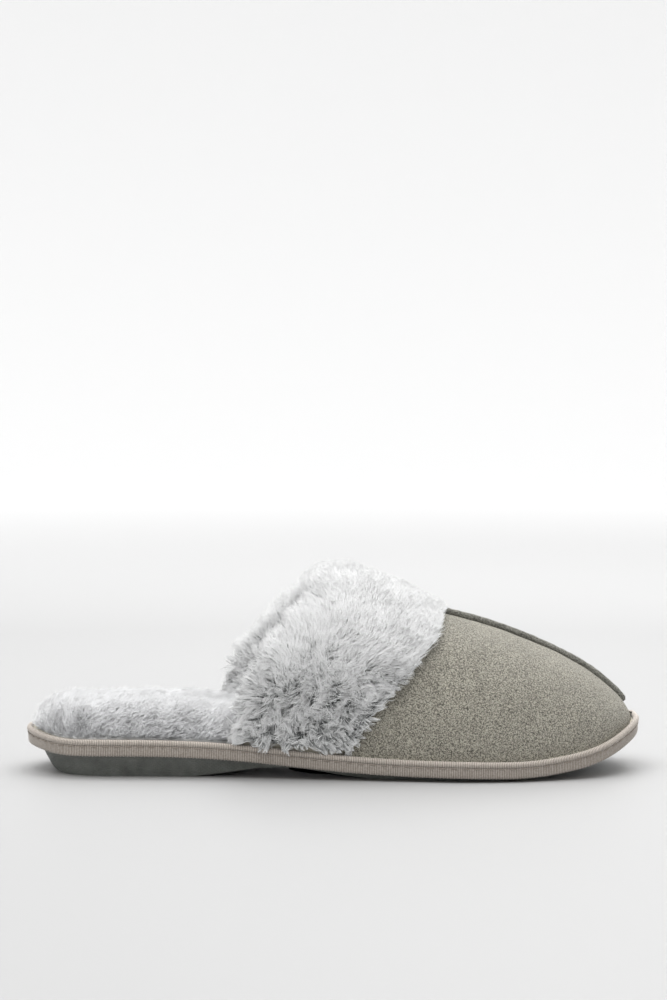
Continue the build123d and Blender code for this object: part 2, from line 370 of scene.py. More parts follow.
def suede(name, dark, light, sheen):
    """Brushed faux suede: a mottled nap in fine grains over broad soft patches."""
    m, nodes, links, shader = material(name, light, 0.95, sheen, (1.0, 0.98, 0.93))
    at = coordinates(nodes)
    fine = noise_node(nodes, links, at, 1700, 3, 0.8)
    patches = noise_node(nodes, links, at, 70, 3, 0.6)
    grain = ramp(nodes, links, fine, [(0.40, dark), (0.60, light)])
    shade = ramp(nodes, links, patches, [(0.3, (0.88, 0.88, 0.88)), (0.7, (1, 1, 1))])
    links.new(mix(nodes, links, grain, shade, 1.0, "MULTIPLY"), shader.inputs["Base Color"])
    bump(nodes, links, shader, fine, 1.0, 0.0009)
    return m


def tape_material():
    """Ribbed woven tape. The ribs are in the mesh, whose UV map has a rib's height across. Their
    light and
    shade are painted in the colour: painted light on the crests, painted shade in the furrows."""
    m, nodes, links, shader = material("ribbed_tape", (0.34, 0.30, 0.26), 0.55, 0.3)
    height, _ = across_and_up(nodes, links)
    yarn = noise_node(nodes, links, coordinates(nodes), 1400, 2, 0.5)
    colour = ramp(nodes, links, height, [(0.1, RIB_FURROW_PAINTED_SHADE), (0.8, RIB_CREST_PAINTED_LIGHT)])
    shade = ramp(nodes, links, yarn, [(0.3, (0.70, 0.68, 0.66)), (0.7, (1, 1, 1))])
    links.new(mix(nodes, links, colour, shade, 1.0, "MULTIPLY"), shader.inputs["Base Color"])
    return m


def rubber_material():
    """Moulded sole rubber with a fine diamond texture on its walls."""
    m, nodes, links, shader = material("sole_rubber", (0.10, 0.115, 0.11), 0.6)
    at = coordinates(nodes)
    both = nodes.new("ShaderNodeMath")
    both.operation = "MAXIMUM"
    for socket, turn in zip(both.inputs, (0.9, -0.9)):
        wave = nodes.new("ShaderNodeTexWave")
        wave.inputs["Scale"].default_value = 260
        wave.inputs["Distortion"].default_value = 0.0
        tilt = nodes.new("ShaderNodeMapping")
        tilt.inputs["Rotation"].default_value = (0, turn, 0)
        links.new(at, tilt.inputs["Vector"])
        links.new(tilt.outputs["Vector"], wave.inputs["Vector"])
        links.new(wave.outputs["Fac"], socket)
    dust = noise_node(nodes, links, at, 120, 4, 0.6)
    colour = ramp(nodes, links, dust, [(0.3, (0.125, 0.132, 0.122)), (0.75, (0.20, 0.21, 0.195))])
    links.new(colour, shader.inputs["Base Color"])
    bump(nodes, links, shader, both.outputs[0], 0.5, 0.0003)
    return m


def plain_fabric(name, dark, light, scale):
    """Matte textile or foam of one colour with fine mottling."""
    m, nodes, links, shader = material(name, light, 0.9)
    fine = noise_node(nodes, links, coordinates(nodes), scale, 3, 0.6)
    links.new(ramp(nodes, links, fine, [(0.3, dark), (0.7, light)]), shader.inputs["Base Color"])
    bump(nodes, links, shader, fine, 0.3, 0.0003)
    return m


def fur_material(name, roots, middles, tips):
    """Colour along each hair, from root to tip, for a dark and a light hair: (dark, light) pairs.
    The hair's own shade is across the UV map and the way to its tip is up it."""
    m, nodes, links, shader = material(name, tips[1], 0.85, 0.7)
    own_shade, to_tip = across_and_up(nodes, links)
    dark, light = (
        ramp(nodes, links, to_tip, [(0.1, root), (0.5, middle), (0.9, tip)])
        for root, middle, tip in zip(roots, middles, tips)
    )
    links.new(mix(nodes, links, dark, light, own_shade), shader.inputs["Base Color"])
    return m


# Mesh helpers ------------------------------------------------------------------------------------


def filled_mesh(name, points, flat, sizes):
    """Smooth mesh from points in slipper millimetres; faces are runs of flat, of these sizes."""
    mesh = bpy.data.meshes.new(name)
    starts = np.concatenate([[0], np.cumsum(sizes)[:-1]])
    mesh.vertices.add(len(points))
    mesh.vertices.foreach_set("co", ((points + SHIFT) * MM).astype(np.float32).ravel())
    mesh.loops.add(len(flat))
    mesh.loops.foreach_set("vertex_index", flat.astype(np.int32))
    mesh.polygons.add(len(sizes))
    mesh.polygons.foreach_set("loop_start", starts.astype(np.int32))
    mesh.update(calc_edges=True)
    mesh.validate()
    mesh.shade_smooth()
    return mesh


def add_uv(mesh, uv, flat):
    layer = mesh.uv_layers.new(name="OFBake")
    layer.data.foreach_set("uv", uv[flat].astype(np.float32).ravel())


def riding(name, mesh, mat):
    """The mesh as a piece that rides on the slipper's body."""
    piece = bpy.data.objects.new(name, mesh)
    bpy.context.scene.collection.objects.link(piece)
    mesh.materials.append(mat)
    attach(piece, "root")
    return piece


def mesh_piece(name, points, faces, mat, uv=None):
    """A piece from points in slipper millimetres and a list of faces."""
    flat = np.concatenate([np.asarray(f) for f in faces])
    mesh = filled_mesh(name, points, flat, np.array([len(f) for f in faces]))
    if uv is not None:
        add_uv(mesh, uv, flat)
    return riding(name, mesh, mat)


def grid_faces(rows, columns, close_rows=False, close_columns=False):
    """Quads over a rows by columns grid of points."""
    r = np.arange(rows if close_rows else rows - 1)
    c = np.arange(columns if close_columns else columns - 1)
    r, c = np.meshgrid(r, c, indexing="ij")
    r, c = r.ravel(), c.ravel()
    r2, c2 = (r + 1) % rows, (c + 1) % columns
    return np.stack([r * columns + c, r2 * columns + c, r2 * columns + c2, r * columns + c2], axis=1)


def grid_normals(grid):
    """Unit normals of a rows by columns grid of points."""
    du = np.gradient(grid, axis=0)
    dv = np.gradient(grid, axis=1)
    return unit(np.cross(du, dv))


def turned(grid, upward):
    """The grid with its columns in the order that faces it up or down at its middle."""
    rows, columns = grid.shape[:2]
    faces_up = grid_normals(grid)[rows // 2, columns // 2, 2] > 0
    return grid if faces_up == upward else grid[:, ::-1]


def shell(grid, thickness):
    """Points and faces of a closed sheet of one thickness behind a grid of points."""
    rows, columns = grid.shape[:2]
    inner = grid - grid_normals(grid) * thickness
    points = np.concatenate([grid.reshape(-1, 3), inner.reshape(-1, 3)])
    front = grid_faces(rows, columns)
    count = rows * columns
    back = front[:, ::-1] + count
    index = np.arange(count).reshape(rows, columns)
    border = np.concatenate([index[0, :], index[1:, -1], index[-1, -2::-1], index[-2:0:-1, 0]])
    ahead = np.roll(border, -1)
    wall = np.stack([ahead, border, border + count, ahead + count], axis=1)
    return points, np.concatenate([front, back, wall])


def swept(path, profile, outward):
    """Closed band: a profile of (out, up) offsets carried round a closed path."""
    up = np.array([0.0, 0.0, 1.0])
    grid = path[:, None] + profile[..., :1] * outward[:, None] + profile[..., 1:] * up
    return grid.reshape(-1, 3), grid_faces(len(path), profile.shape[-2], True, True)


def tube(path, radius, sides):
    """Points and faces of a closed round bar along an open path with a radius at each point."""
    along = unit(np.gradient(path, axis=0))
    side = unit(np.cross(along, [0, 0, 1.0]))
    up = np.cross(side, along)
    angle = np.linspace(0, 2 * math.pi, sides, endpoint=False)
    ring = side[:, None] * np.cos(angle)[:, None] + up[:, None] * np.sin(angle)[:, None]
    grid = path[:, None] + ring * radius[:, :, None]
    points = np.concatenate([grid.reshape(-1, 3), path[:1], path[-1:]])
    count = grid.shape[0] * sides
    faces = [list(f[::-1]) for f in grid_faces(grid.shape[0], sides, False, True)]
    for k in range(sides):
        after = (k + 1) % sides
        faces.append([k, after, count])
        faces.append([count - sides + after, count - sides + k, count + 1])
    return points, faces


# Edge tape and piping ----------------------------------------------------------------------------


def rim_path():
    """Points of the rim with heights on the edge line, and their outward directions."""
    return np.column_stack([rim, edge(rim[:, 0])]), np.column_stack([rim_out, 0 * rim[:, 0]])


def ribs(count, phase=0.0, points_each=RIB_POINTS):
    """Height of the ribs, 0 to 1, at each point of the rim."""
    return 0.5 + 0.5 * np.cos(np.arange(count) * 2 * math.pi / points_each + phase)


def rib_map(rib, around, lightness):
    """UV map of a swept piece: across, the rib's height scaled by lightness, which the tape's
    material turns into painted light and shade; up, the way round.
    """
    across = np.repeat(0.02 + 0.96 * lightness * rib, around)
    up = np.tile(np.linspace(0.02, 0.98, around), len(rib))
    return np.stack([across, up], axis=1)


def edge_tape(mat):
    """Flat ribbed tape with a scalloped lower edge, turned under the platform."""
    path, out = rim_path()
    count = len(path)
    rib = ribs(count)
    scallop = ribs(count, points_each=2 * RIB_POINTS)
    profile = np.repeat(np.array(TAPE_SECTION)[None], count, axis=0)
    profile[..., 0] += RIB_DEPTH * rib[:, None] * np.array(TAPE_RIBBED)
    profile[..., 1] -= SCALLOP_DEPTH * scallop[:, None] * np.array(TAPE_SCALLOPED)
    points, faces = swept(path, profile, out)
    # The UV map carries the ribs' painted light and shade.
    uv = rib_map(rib, len(TAPE_SECTION), TAPE_LIGHTNESS)
    piece = mesh_piece("ribbed_edge_tape", points, faces, mat, uv)
    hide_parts("edge_tape")


def welt_piping(mat):
    """Round ribbed piping standing on the tape, right round the platform."""
    path, out = rim_path()
    angle = np.linspace(0, 2 * math.pi, PIPING_SIDES, endpoint=False)
    rib = ribs(len(path), WELT_RIB_PHASE)
    radius = (WELT_PIPING_RADIUS + RIB_DEPTH * rib)[:, None]
    across = radius * np.cos(angle) - WELT_PIPING_IN
    up = radius * np.sin(angle) + WELT_PIPING_UP
    points, faces = swept(path, np.stack([across, up], axis=-1), out)
    # The UV map carries the ribs' painted light and shade.
    uv = rib_map(rib, PIPING_SIDES, 1.0)
    piece = mesh_piece("welt_piping", points, faces, mat, uv)
    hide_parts("welt_piping_cover")


# Vamp --------------------------------------------------------------------------------------------


def vamp_surface(rows, columns, first, last):
    """Outer face of the vamp between two arch angles, from under the cuff to the toe. It has soft
    waves, is pulled in at its foot and dips into the ridge seam."""
    along = np.linspace(0, 1, rows)
    angle = np.linspace(first, last, columns)
    tip = toe_tip()
    height = np.abs(np.sin(angle)) ** (2 / ARCH_SQUARENESS)
    under_cuff = 14
    start = np.interp(18 + 52 * height, front_curve[:, 1], front_curve[:, 0]) - under_cuff
    s = tip - (tip - start[None, :]) * (1 - along[:, None]) ** 2
    grid = arch(s, np.broadcast_to(angle, s.shape), UPPER_INSET, 0.0)
    normal = grid_normals(grid)
    normal = normal * np.sign(normal[rows // 2, columns // 2, 2])
    foot = np.exp(-((grid[..., 2] - edge(grid[..., 0]) - PLATFORM_TOP) / 5.0) ** 2)
    wave = dimple(grid, 26, 3) * 0.28 + dimple(grid, 9, 4) * 0.10
    pull = foot * (0.5 * dimple(grid * [1, 1, 0.2], 7, 5) - 0.6)
    seam_dip = -0.55 * np.exp(-((angle[None, :] - math.pi / 2) / 0.05) ** 2)
    return grid + normal * (wave + pull + seam_dip)[..., None]


def vamp_panels(mat):
    seam_gap = 0.004
    for name, first, last in (
        ("lateral", 0.0, math.pi / 2 - seam_gap), ("medial", math.pi / 2 + seam_gap, math.pi),
    ):
        grid = turned(vamp_surface(150, 90, first, last), upward=True)
        points, faces = shell(grid, PANEL_THICKNESS)
        piece = mesh_piece(f"suede_panel_{name}", points, faces, mat)
        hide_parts(f"vamp_panel_{name}")


def centre_piping(mat):
    """Suede-covered cord on the ridge seam, a little lumpy, dying into the toe."""
    s = SEAM_PIPING_END - SEAM_PIPING_REACH * (1 - np.linspace(0, 1, 420)) ** 1.4
    crest = arch(s, np.full(s.shape, math.pi / 2), UPPER_INSET, 0.0)
    crest[:, 2] += SEAM_PIPING_RISE
    angle = np.linspace(0, 2 * math.pi, PIPING_SIDES, endpoint=False)
    spots = crest[:, None] + np.stack([0 * angle, np.cos(angle), np.sin(angle)], 1) * 1.6
    lumps = dimple(spots, 1.7, 11) * 0.10 + dimple(spots, 4.5, 12) * 0.08
    fade = np.clip((SEAM_PIPING_END + 0.9 - s) / 1.6, 0.3, 1)[:, None]
    points, faces = tube(crest, (SEAM_PIPING_RADIUS + lumps) * fade, PIPING_SIDES)
    piece = mesh_piece("seam_piping", points, faces, mat)
    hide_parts("centre_piping_cover")


# Pile --------------------------------------------------------------------------------------------


def scatter(grid, count, density):
    """Random spots on a grid surface, by area and density: points, normals and rows."""
    rows, columns = grid.shape[:2]
    a, b, c = grid[:-1, :-1], grid[1:, :-1], grid[:-1, 1:]
    area = np.linalg.norm(np.cross(b - a, c - a), axis=-1) * density[:-1, :-1]
    pick = rng.choice(area.size, size=count, p=area.ravel() / area.sum())
    r, q = np.divmod(pick, columns - 1)
    u, v = rng.random(count), rng.random(count)

    def blend(field):
        return (
            field[r, q] * ((1 - u) * (1 - v))[:, None] + field[r + 1, q] * (u * (1 - v))[:, None]
            + field[r, q + 1] * ((1 - u) * v)[:, None] + field[r + 1, q + 1] * (u * v)[:, None]
        )

    return blend(grid), unit(blend(grid_normals(grid))), r + u


def patchy(points, size, seed):
    """Random shade from 0 to 1 with soft patches over points and a difference hair by hair."""
    return np.clip(0.5 + 0.3 * dimple(points, size, seed) + rng.normal(0, 0.18, len(points)), 0, 1)


def combed(root, normal, lean, length, wild):
    """Middle lines of hairs that leave along the normal and bend over towards lean."""
    count = len(root)
    heading = unit(normal + 0.35 * wild * rng.normal(size=(count, 3)))
    bend = lean + 0.25 * wild * rng.normal(size=(count, 3))
    spine = [root]
    for a, b in zip(STRAND_STEPS, STRAND_STEPS[1:]):
        middle = (a + b) / 2
        direction = unit(heading * (1.1 - middle) + bend * (0.35 + middle))
        spine.append(spine[-1] + direction * (length * (b - a))[:, None])
    return np.stack(spine, axis=1)


def clumps(root, size):
    """For each hair, the index of the nearest of the hairs that lead a clump."""
    centres = rng.choice(len(root), size=max(len(root) // size, 1), replace=False)
    tree = KDTree(len(centres))
    for i, c in enumerate(centres):
        tree.insert(root[c], i)
    tree.balance()
    return centres[np.array([tree.find(p)[1] for p in root])]


def strand_rings(along):
    """Unit directions from each hair's middle line to the corners of its three-sided section."""
    side = unit(np.cross(along, unit(rng.normal(size=(len(along), 1, 3)))))
    other = np.cross(along, side)
    rings = []
    for k in range(STRAND_SIDES):
        a = 2 * math.pi * k / STRAND_SIDES
        rings.append(side[:, :3] * math.cos(a) + other[:, :3] * math.sin(a))
    return np.stack(rings, axis=2)


def strand_faces(count):
    """Faces of many hairs: corner indices one after another, and each face's size."""
    quads = []
    for ring in (0, 3):
        for k in range(3):
            n = (k + 1) % 3
            quads.append([ring + k, ring + n, ring + 3 + n, ring + 3 + k])
    tips = [[6 + k, 6 + (k + 1) % 3, 9] for k in range(3)]
    tips.append([2, 1, 0])
    offset = (np.arange(count) * STRAND_POINTS)[:, None, None]
    four = (np.array(quads)[None] + offset).reshape(-1, 4)
    three = (np.array(tips)[None] + offset).reshape(-1, 3)
    flat = np.concatenate([four.ravel(), three.ravel()])
    return flat, np.concatenate([np.full(len(four), 4), np.full(len(three), 3)])


def pile(
    name, mat, root, normal, *, lean, length, width, shade, clump_size, clump_pull, wild,
    soften,
):
    """Tapered hairs in pieces of at most STRANDS_PER_PIECE. lean is the direction and strength of
    the combing and wild how much each hair strays from it. Hairs near one another are drawn
    together towards a tip of their own clump, and soften turns their shading upwards, as light
    scattered in the pile does."""
    count = len(root)
    spine = combed(root, normal, lean, length, wild)
    owner = clumps(root, clump_size)
    pull = np.broadcast_to(clump_pull, count)[:, None] * np.array(STRAND_STEPS) ** 1.6
    target = spine[owner] + (root - root[owner])[:, None] * 0.25
    spine = spine + (target - spine) * pull[..., None]
    shade = 0.5 * shade + 0.5 * shade[owner]
    along = unit(np.gradient(spine, axis=1))
    rings = strand_rings(along)
    radius = (width[:, None] / 2 * np.array(STRAND_TAPER))[:, :, None, None]
    points = spine[:, :3, None] + rings * radius
    upward = normal + [0, 0, soften]
    soft = unit(upward[:, None, None] * 1.3 + rings * 0.5 + along[:, :3, None] * 0.35)
    points = np.concatenate([points.reshape(count, -1, 3), spine[:, 3:]], axis=1)
    normals = np.concatenate([soft.reshape(count, -1, 3), soft[:, -1, :1]], axis=1)
    uv = np.empty((count, STRAND_POINTS, 2))
    uv[..., 0] = np.clip(shade, 0.02, 0.98)[:, None]
    uv[..., 1] = np.repeat(STRAND_STEPS, [3, 3, 3, 1])
    for i, begin in enumerate(range(0, count, STRANDS_PER_PIECE)):
        part = slice(begin, begin + STRANDS_PER_PIECE)
        flat, sizes = strand_faces(len(points[part]))
        mesh = filled_mesh(f"{name}_{i}", points[part].reshape(-1, 3), flat, sizes)
        add_uv(mesh, uv[part].reshape(-1, 2), flat)
        mesh.normals_split_custom_set_from_vertices(normals[part].reshape(-1, 3).astype(np.float32))
        riding(f"{name}_{i}", mesh, mat)


# Insole ------------------------------------------------------------------------------------------


def insole_rim(count):
    """Stations and edges of the plush footbed, inside the piping."""
    lateral, medial = rim_sides(INSOLE_INSET)
    start = INSOLE_INSET + HEEL_CLEARANCE
    reach = toe_tip() - TOE_CLEARANCE - start
    s = start + reach * (0.5 - 0.5 * np.cos(np.linspace(0, math.pi, count)))
    return (
        s, np.interp(s, lateral[:, 0], lateral[:, 1]), np.interp(s, medial[:, 0], medial[:, 1]),
    )


def insole_skin(rows, columns):
    """Grid of the pad under the pile: a crowned top with rounded shoulders, tall at the heel, low
    in the toe and narrower inside the upper."""
    s, y_low, y_high = insole_rim(rows)
    across = np.sin(np.linspace(-math.pi / 2, math.pi / 2, columns))
    inside = np.clip(1 - (s - HEEL_PAD_END) / 30 * 0.24, 0.76, 1)
    squeeze = np.where(s > HEEL_PAD_END, inside, 1.0)
    half_width = (y_high - y_low)[:, None] / 2
    y = (y_low + y_high)[:, None] / 2 + half_width * across * squeeze[:, None]
    from_rim = (1 - np.abs(across))[None, :] * half_width
    from_end = np.minimum(s - INSOLE_INSET - 0.5, 270 - s)[:, None]
    reach = np.minimum(np.clip(from_rim, 0, None), np.clip(from_end, 0, None))
    shoulder = 1 - (1 - np.clip(reach / PAD_SHOULDER, 0, 1)) ** 2.6
    tall = np.interp(s, *np.transpose(PAD_HEIGHTS))
    z = (edge(s) + PLATFORM_TOP)[:, None] + 0.3 + tall[:, None] * shoulder
    grid = np.stack([np.broadcast_to(s[:, None], y.shape), y, z], axis=-1)
    grid[..., 2] += 0.8 * dimple(grid, 20, 21) * shoulder
    return turned(grid, upward=True)


def insole_edge(root):
    """1 at the footbed's edge, falling to 0 over 12 mm inward, or 10 mm at the heel."""
    s, y_low, y_high = insole_rim(INSOLE_ROWS)
    from_side = np.minimum(
        np.interp(root[:, 0], s, y_high) - root[:, 1], root[:, 1] - np.interp(root[:, 0], s, y_low)
    )
    near_side = np.clip(1 - from_side / 12, 0, 1)
    return np.maximum(near_side, np.clip(1 - (root[:, 0] - 5) / 10, 0, 1))


def insole(base_mat, fur_mat):
    """Plush footbed: a pad flat underneath, with soft pile that leans out over its edges."""
    grid = insole_skin(INSOLE_ROWS, 61)
    points, faces = shell(grid, 0.01)
    underside = points[len(points) // 2:]
    underside[:, 2] = edge(underside[:, 0]) + PLATFORM_TOP + 0.05
    pad = mesh_piece("insole_pad", points, faces, base_mat)
    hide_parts("insole_plush")
    density = np.interp(grid[..., 0], [0, 100, 130, 240, 241], [1.0, 1.0, 0.4, 0.1, 0.0])
    root, normal, _ = scatter(grid, INSOLE_HAIRS, density)
    outward = root - np.array(PILE_MIDDLE)
    outward[:, 2] = 0
    near_edge = insole_edge(root)
    swirl = np.stack([dimple(root, 22, 31), dimple(root, 6, 32), 0 * root[:, 0]], axis=1)
    length = INSOLE_PILE + 1.6 * dimple(root, 14, 33) + rng.normal(0, 0.8, len(root))
    # Hairs low on the pad, by the tape, are painted darker: painted shade in a band along the tape.
    foot = np.clip(1 - (root[:, 2] - edge(root[:, 0]) - PLATFORM_TOP) / 3, 0, 1)
    pile(
        "insole_pile", fur_mat, root, unit(normal + [0, 0, 0.6]),
        lean=unit(outward) * near_edge[:, None] * 0.45 + swirl * 0.25 + [0.45, 0, 0.15],
        length=np.clip(length, 4.5, 11) * (1 - 0.35 * near_edge),
        shade=patchy(root, 13, 34) * 0.2 + 0.78 - 0.25 * foot,
        width=rng.uniform(0.2, 0.34, len(root)),
        clump_size=18, clump_pull=0.3, wild=0.7, soften=0.9,
    )


# Cuff --------------------------------------------------------------------------------------------


def cuff_stations(angle, lift):
    """Stations of the throat edge and of the cuff's front edge at each arch angle, on a surface
    lifted off the upper. The throat runs a little further back on the medial side."""
    throat = np.full(angle.shape, 105.0)
    front = np.full(angle.shape, 165.0)
    for _ in range(20):
        z = arch(throat, angle, UPPER_INSET - lift * 0.6, -lift)[..., 2]
        throat = 0.5 * throat + 0.5 * np.interp(z, throat_curve[:, 1], throat_curve[:, 0])
        z = arch(front, angle, UPPER_INSET - lift * 0.6, -lift)[..., 2]
        front = 0.5 * front + 0.5 * np.interp(z, front_curve[:, 1], front_curve[:, 0])
    return throat + THROAT_SKEW * np.cos(angle), front


def cuff_skin(columns):
    """The cuff under its pile, as a loop at each arch angle: over the outside from the front edge
    to the throat, round the fold and down the inside."""
    angle = np.linspace(CUFF_FOOT_ANGLE, math.pi - CUFF_FOOT_ANGLE, columns)
    throat, front = cuff_stations(angle, CUFF_LIFT)
    rows = []
    for t in np.linspace(0, 1, OUTSIDE_ROWS):
        s = front - 4 + (throat + THROAT_ROLL - front + 4) * t
        lift = 1.2 + 3.6 * math.sin(math.pi * min(t * 1.1, 1) / 2) ** 0.8
        rows.append(arch(s, angle, UPPER_INSET - 0.55 * lift, -lift))
    for t in np.linspace(0, math.pi, FOLD_ROWS + 2)[1:-1]:
        s = throat + THROAT_ROLL - 4.6 * math.sin(t)
        lift = 0.6 + (4.2 if t < math.pi / 2 else 5.0) * math.cos(t)
        rows.append(arch(s, angle, UPPER_INSET - (0.55 if lift > 0 else 1.0) * lift, -lift))
    for t in np.linspace(0, 1, TURN_IN_ROWS):
        s = throat + THROAT_ROLL + TURN_IN * t
        lift = -4.4 - 1.2 * math.sin(math.pi * t)
        rows.append(arch(s, angle, UPPER_INSET - lift, -lift))
    return turned(np.array(rows), upward=True)


def near_fold(row):
    """1 on the roll at the throat, falling to 0 either side of it."""
    return np.exp(-((row - OUTSIDE_ROWS - 4) / 5.0) ** 2)


def cuff_combing(root, row, t, height):
    """Lean of the cuff's hairs: up over the crown, down and loose in whorls at the foot, forward
    at the front edge and back at the throat."""
    on_outside = np.clip(1 - (row - OUTSIDE_ROWS) / 5, 0, 1)
    swirl = 0.35 * np.stack([dimple(root, 24, k) for k in (41, 42, 43)], axis=1)
    swirl += 1.0 * np.stack([dimple(root, 3.2, k) for k in (44, 45, 46)], axis=1)
    loose = np.clip(1.7 - 1.9 * height, 0.3, 1.5)[:, None]
    side = np.sign(root[:, 1] - seam(root[:, 0]))
    up = np.clip((height - 0.36) * 1.9, -0.12, 0.85) - 0.6 * np.clip(1 - height / 0.13, 0, 1)
    lean = np.stack([0.15 + 0.3 * dimple(root, 13, 49), 0.1 * side, up], axis=1)
    lean = lean + swirl * loose * 0.85
    forward = np.clip(1 - t * 1.5, 0, 1)
    lean[:, 0] += 0.6 * forward + 0.1 * height - 0.7 * rise(t, 0.7, 0.3) * on_outside
    lean[:, 0] -= 0.35 * near_fold(row)
    lean[:, 0] -= 1.1 * rise(t, 0.72, 0.28) * np.clip(1 - height / 0.4, 0, 1)
    return lean


def cuff_length(root, row, t, height):
    """Length of the cuff's hairs: shorter inside, at the front edge, on the crown and low down."""
    outside_share = np.where(row < OUTSIDE_ROWS + 5, 1, 0.62)
    length = CUFF_PILE + 1.5 * dimple(root, 16, 47) + rng.normal(0, 0.9, len(root))
    length = length * (0.72 + 0.28 * np.clip(t * 2.5, 0, 1)) * outside_share
    crown = rise(height, 0.6, 0.3)
    length = length * (1 - 0.32 * crown * np.clip(1.2 - t * 1.5, 0, 1)) * (1 - 0.12 * crown)
    length = length * (0.68 + 0.32 * np.clip(height / 0.5, 0, 1))
    return np.clip(length * (1 - 0.3 * np.clip(1 - height / 0.12, 0, 1)), 3.5, 12.5)


def cuff(base_mat, fur_mat):
    """Fur cuff: a padded roll with long pile, frosted low down where dark roots show; its inside has
    painted shade.
    """
    grid = cuff_skin(111)
    rows, columns = grid.shape[:2]
    first_end = list(range(0, rows * columns, columns))[::-1]
    last_end = list(range(columns - 1, rows * columns, columns))
    faces = [list(f) for f in grid_faces(rows, columns, True, False)] + [first_end, last_end]
    skin = mesh_piece("cuff_skin", grid.reshape(-1, 3), faces, base_mat)
    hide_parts("fur_cuff")
    density = 0.68 + 0.32 * np.clip(np.abs(grid[..., 2] - 26) / 20, 0, 1)
    density[OUTSIDE_ROWS + 12:] = 0.35
    root, normal, row = scatter(grid, CUFF_HAIRS, density)
    t = np.clip(row / OUTSIDE_ROWS, 0, 1)
    height = rise(root[:, 2], CUFF_FOOT, CUFF_TALL)
    length = cuff_length(root, row, t, height)
    shade = patchy(root, 9, 48) * 0.9 + 0.78 * height + 0.04
    pile(
        "cuff_fur", fur_mat, root, normal,
        lean=cuff_combing(root, row, t, height),
        length=length,
        # Hairs on the inside past the fold are painted much darker: painted shade for the inside of
        # the throat.
        shade=shade + 0.45 * near_fold(row) - 1.0 * rise(row, OUTSIDE_ROWS + 8, 3),
        width=rng.uniform(0.18, 0.36, len(root)),
        clump_size=10, clump_pull=0.98 - 0.56 * np.clip(height * 1.2, 0, 1), wild=1.0, soften=0.25,
    )


# Lining ------------------------------------------------------------------------------------------


def lining(base_mat, fur_mat):
    """Plush lining inside each half of the vamp, seen through the throat."""
    ends = 0.02
    for name, first, last in (
        ("lateral", ends, math.pi / 2), ("medial", math.pi / 2, math.pi - ends),
    ):
        angle = np.linspace(first, last, 46)
        throat, _ = cuff_stations(angle, 0.0)
        along = np.linspace(0, 1, 60)[:, None]
        tip = toe_tip() - 9
        s = tip - (tip - (throat + 27)[None, :]) * (1 - along) ** 1.6
        grid = arch(s, np.broadcast_to(angle, s.shape), UPPER_INSET + LINING_GAP, LINING_GAP)
        grid = turned(grid, upward=False)
        face = grid + grid_normals(grid) * LINING_SINK
        points, faces = shell(face, LINING_THICKNESS)
        piece = mesh_piece(f"lining_cloth_{name}", points, faces, base_mat)
        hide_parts(f"vamp_lining_{name}")
        density = np.interp(grid[..., 0], [110, 170, 225, 226], [1.0, 0.8, 0.3, 0.0])
        root, normal, _ = scatter(face, LINING_HAIRS, density)
        pile(
            f"lining_pile_{name}", fur_mat, root, normal,
            lean=np.stack([dimple(root, 15, k) for k in (51, 52, 53)], axis=1) * 0.7,
            length=np.clip(rng.normal(LINING_PILE, 0.7, len(root)), 2.5, 6),
            width=rng.uniform(0.3, 0.5, len(root)),
            shade=patchy(root, 10, 54),
            clump_size=20, clump_pull=0.5, wild=1.0, soften=0.0,
        )


# Stage -------------------------------------------------------------------------------------------


def floor_material():
    """Pale floor with painted shade: darker around the slipper, where the lights are strongest, than
    far from it.
    """
    m, nodes, links, shader = material("floor_white", (0.85, 0.85, 0.85), 0.5)
    away = nodes.new("ShaderNodeVectorMath")
    away.operation = "LENGTH"
    links.new(coordinates(nodes), away.inputs[0])
    spread = nodes.new("ShaderNodeMapRange")
    spread.inputs["From Max"].default_value = FLOOR_SPREAD
    links.new(away.outputs["Value"], spread.inputs["Value"])
    # Painted shade: darker near the slipper, paler far out.
    stops = [(0.22, (FLOOR_NEAR_PAINTED_SHADE,) * 3), (0.8, (FLOOR_FAR,) * 3)]
    links.new(ramp(nodes, links, spread.outputs["Result"], stops), shader.inputs["Base Color"])
    return m


def backdrop():
    """Round pale floor that curves up into a low wall on every side."""
    turns = np.linspace(0, math.pi / 2 * 0.9, 16)[1:]
    radii = np.concatenate([[0.02, 0.6, 1.4, FLOOR_FLAT], FLOOR_FLAT + FLOOR_CURVE * np.sin(turns)])
    heights = np.concatenate([[0, 0, 0, 0], FLOOR_CURVE - FLOOR_CURVE * np.cos(turns)])
    angle = np.linspace(0, 2 * math.pi, FLOOR_SIDES, endpoint=False)
    grid = np.stack([
        radii[:, None] * np.cos(angle), radii[:, None] * np.sin(angle),
        np.repeat(heights[:, None], FLOOR_SIDES, 1),
    ], axis=-1)
    faces = [list(f) for f in grid_faces(len(radii), FLOOR_SIDES, False, True)]
    faces.append(list(range(FLOOR_SIDES))[::-1])
    mesh = bpy.data.meshes.new("floor")
    mesh.from_pydata(grid.reshape(-1, 3).tolist(), [], faces)
    mesh.shade_smooth()
    floor = bpy.data.objects.new("floor", mesh)
    bpy.context.scene.collection.objects.link(floor)
    mesh.materials.append(floor_material())


def softbox(name, place, target, size, power):
    light = bpy.data.lights.new(name, "AREA")
    light.shape = "RECTANGLE"
    light.size, light.size_y = size
    light.energy = power
    o = bpy.data.objects.new(name, light)
    o.location = place
    o.rotation_euler = (Vector(target) - Vector(place)).to_track_quat("-Z", "Y").to_euler()
    bpy.context.scene.collection.objects.link(o)


